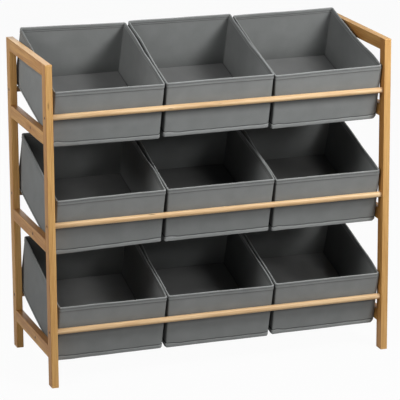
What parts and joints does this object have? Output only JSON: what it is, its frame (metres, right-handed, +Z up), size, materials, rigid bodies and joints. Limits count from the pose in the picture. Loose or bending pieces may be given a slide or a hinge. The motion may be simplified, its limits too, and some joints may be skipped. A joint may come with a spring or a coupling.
{
  "type": "toy storage rack",
  "caption": "Three-tier wooden rack with ladder side frames, cross dowels and open fabric bins that lie tilted to the front and lift out.",
  "frame": {"origin": "on the floor under the middle of the rack, its bins included", "axes": "+X along the rack's width to its right side seen from the front, +Y to the rear, +Z up"},
  "size_m": [0.86, 0.366, 0.7994],
  "materials": {
    "side_frame_wood": "satin lacquered pale wood",
    "dowel_wood": "satin lacquered pale wood, turned",
    "pin_wood": "raw fluted-pin wood",
    "screw_steel": "dark oxidised steel",
    "bin_fabric": "grey non-woven fabric",
    "wall_card": "pressed grey-brown board",
    "base_fabric": "grey non-woven fabric over board"
  },
  "bodies": {
    "rack": {"left_front_post": "side_frame_wood", "left_rear_post": "side_frame_wood", "left_top_rail": "side_frame_wood", "right_front_post": "side_frame_wood", "right_rear_post": "side_frame_wood", "right_top_rail": "side_frame_wood", "left_lower_rail": "side_frame_wood", "left_middle_rail": "side_frame_wood", "left_upper_rail": "side_frame_wood", "right_lower_rail": "side_frame_wood", "right_middle_rail": "side_frame_wood", "right_upper_rail": "side_frame_wood", "lower_front_dowel": "dowel_wood", "lower_support_dowel": "dowel_wood", "lower_rear_dowel": "dowel_wood", "middle_front_dowel": "dowel_wood", "middle_support_dowel": "dowel_wood", "middle_rear_dowel": "dowel_wood", "upper_front_dowel": "dowel_wood", "upper_support_dowel": "dowel_wood", "upper_rear_dowel": "dowel_wood", "left_screws": "screw_steel", "left_glue_pins": "pin_wood", "right_screws": "screw_steel", "right_glue_pins": "pin_wood"},
    "lower_left_bin_body": {"lower_left_bin": "bin_fabric", "lower_left_wall_boards": "wall_card", "lower_left_base_board": "base_fabric"},
    "lower_centre_bin_body": {"lower_centre_bin": "bin_fabric", "lower_centre_wall_boards": "wall_card", "lower_centre_base_board": "base_fabric"},
    "lower_right_bin_body": {"lower_right_bin": "bin_fabric", "lower_right_wall_boards": "wall_card", "lower_right_base_board": "base_fabric"},
    "middle_left_bin_body": {"middle_left_bin": "bin_fabric", "middle_left_wall_boards": "wall_card", "middle_left_base_board": "base_fabric"},
    "middle_centre_bin_body": {"middle_centre_bin": "bin_fabric", "middle_centre_wall_boards": "wall_card", "middle_centre_base_board": "base_fabric"},
    "middle_right_bin_body": {"middle_right_bin": "bin_fabric", "middle_right_wall_boards": "wall_card", "middle_right_base_board": "base_fabric"},
    "upper_left_bin_body": {"upper_left_bin": "bin_fabric", "upper_left_wall_boards": "wall_card", "upper_left_base_board": "base_fabric"},
    "upper_centre_bin_body": {"upper_centre_bin": "bin_fabric", "upper_centre_wall_boards": "wall_card", "upper_centre_base_board": "base_fabric"},
    "upper_right_bin_body": {"upper_right_bin": "bin_fabric", "upper_right_wall_boards": "wall_card", "upper_right_base_board": "base_fabric"}
  },
  "joints": [
    {"name": "lower_left_bin_lift", "type": "slide", "parent": "rack", "child": "lower_left_bin_body", "axis": [0, -0.2603, 0.9655], "range_m": [0, 0.09]},
    {"name": "lower_centre_bin_lift", "type": "slide", "parent": "rack", "child": "lower_centre_bin_body", "axis": [0, -0.2603, 0.9655], "range_m": [0, 0.09]},
    {"name": "lower_right_bin_lift", "type": "slide", "parent": "rack", "child": "lower_right_bin_body", "axis": [0, -0.2603, 0.9655], "range_m": [0, 0.09]},
    {"name": "middle_left_bin_lift", "type": "slide", "parent": "rack", "child": "middle_left_bin_body", "axis": [0, -0.2603, 0.9655], "range_m": [0, 0.09]},
    {"name": "middle_centre_bin_lift", "type": "slide", "parent": "rack", "child": "middle_centre_bin_body", "axis": [0, -0.2603, 0.9655], "range_m": [0, 0.09]},
    {"name": "middle_right_bin_lift", "type": "slide", "parent": "rack", "child": "middle_right_bin_body", "axis": [0, -0.2603, 0.9655], "range_m": [0, 0.09]},
    {"name": "upper_left_bin_lift", "type": "slide", "parent": "rack", "child": "upper_left_bin_body", "axis": [0, -0.2603, 0.9655], "range_m": [0, 0.18]},
    {"name": "upper_centre_bin_lift", "type": "slide", "parent": "rack", "child": "upper_centre_bin_body", "axis": [0, -0.2603, 0.9655], "range_m": [0, 0.18]},
    {"name": "upper_right_bin_lift", "type": "slide", "parent": "rack", "child": "upper_right_bin_body", "axis": [0, -0.2603, 0.9655], "range_m": [0, 0.18]}
  ]
}
